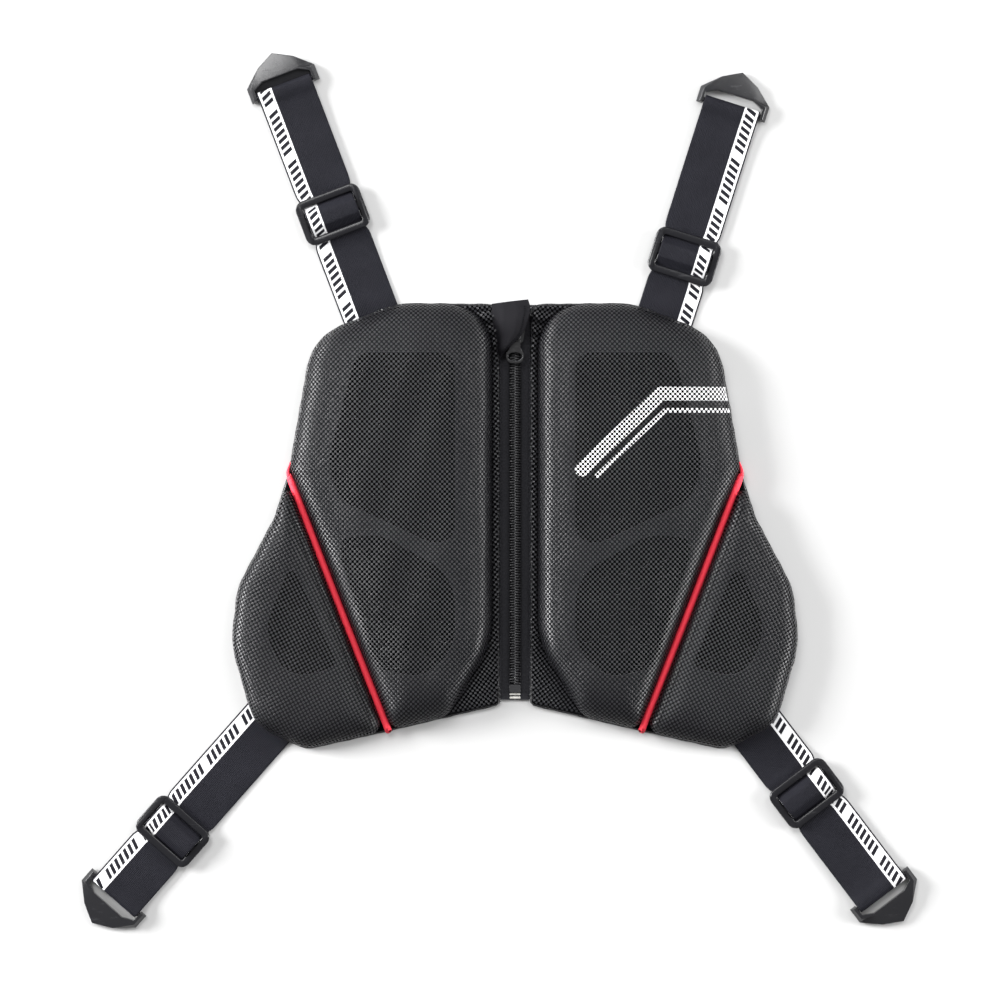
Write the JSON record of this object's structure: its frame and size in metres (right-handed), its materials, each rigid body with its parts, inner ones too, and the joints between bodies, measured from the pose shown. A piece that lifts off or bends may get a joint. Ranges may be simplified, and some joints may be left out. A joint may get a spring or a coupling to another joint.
{
  "type": "chest protector",
  "caption": "Zip-front chest protector: mesh-covered armour pads with side wings, red piping, elastic straps with ladder sliders and end hooks.",
  "frame": {"origin": "on the zip line, at mid height of the body, on the floor under the back", "axes": "+Z out of the chest (the object lies on its back), +Y towards the shoulders, +X towards the side named r"},
  "size_m": [0.5543, 0.5805, 0.0238],
  "materials": {
    "mesh": "open black polyester mesh, slight sheen",
    "foam": "matt moulded foam",
    "cloth": "plain black weave",
    "piping": "red satin weave",
    "webbing": "black elastic with a white edge stripe",
    "plastic": "satin black moulded plastic",
    "zip_coil": "black nylon coil",
    "zip_metal": "black enamel, worn bright at the edges"
  },
  "bodies": {
    "protector": {"back_panel_l": "mesh", "back_panel_r": "mesh", "chest_armour_l": "foam", "chest_armour_r": "foam", "chest_cover_l": "mesh", "chest_cover_r": "mesh", "garage_flap": "cloth", "ladder_slider_ll": "plastic", "ladder_slider_lr": "plastic", "ladder_slider_ul": "plastic", "ladder_slider_ur": "plastic", "piping_l": "piping", "piping_r": "piping", "side_armour_l": "foam", "side_armour_r": "foam", "side_cover_l": "mesh", "side_cover_r": "mesh", "strap_ll": "webbing", "strap_lr": "webbing", "strap_ul": "webbing", "strap_ur": "webbing", "zip_bottom_stop": "zip_coil", "zip_chain_l": "zip_coil", "zip_chain_r": "zip_coil", "zip_slider": "zip_metal", "zip_tape_l": "cloth", "zip_tape_r": "cloth"},
    "pull_tab": {"pull_tab": "zip_metal"},
    "hook_ul": {"end_hook_ul": "plastic"},
    "hook_ur": {"end_hook_ur": "plastic"},
    "hook_ll": {"end_hook_ll": "plastic"},
    "hook_lr": {"end_hook_lr": "plastic"}
  },
  "joints": [
    {"name": "pull_tab_hinge", "type": "hinge", "parent": "protector", "child": "pull_tab", "pos_m": [0, 0.12563, 0.0071], "axis": [-1, 0, 0], "range_deg": [0, 15]},
    {"name": "hook_ul_hinge", "type": "hinge", "parent": "protector", "child": "hook_ul", "pos_m": [-0.15273, 0.28928, 0.0033], "axis": [0.9348, 0.3551, 0], "range_deg": [0, 90]},
    {"name": "hook_ur_hinge", "type": "hinge", "parent": "protector", "child": "hook_ur", "pos_m": [0.14369, 0.27592, 0.0033], "axis": [0.9532, -0.3024, 0], "range_deg": [0, 90]},
    {"name": "hook_ll_hinge", "type": "hinge", "parent": "protector", "child": "hook_ll", "pos_m": [-0.26433, -0.24617, 0.0033], "axis": [-0.7501, 0.6613, 0], "range_deg": [0, 90]},
    {"name": "hook_lr_hinge", "type": "hinge", "parent": "protector", "child": "hook_lr", "pos_m": [0.24297, -0.24371, 0.0033], "axis": [-0.7965, -0.6046, 0], "range_deg": [0, 90]}
  ]
}
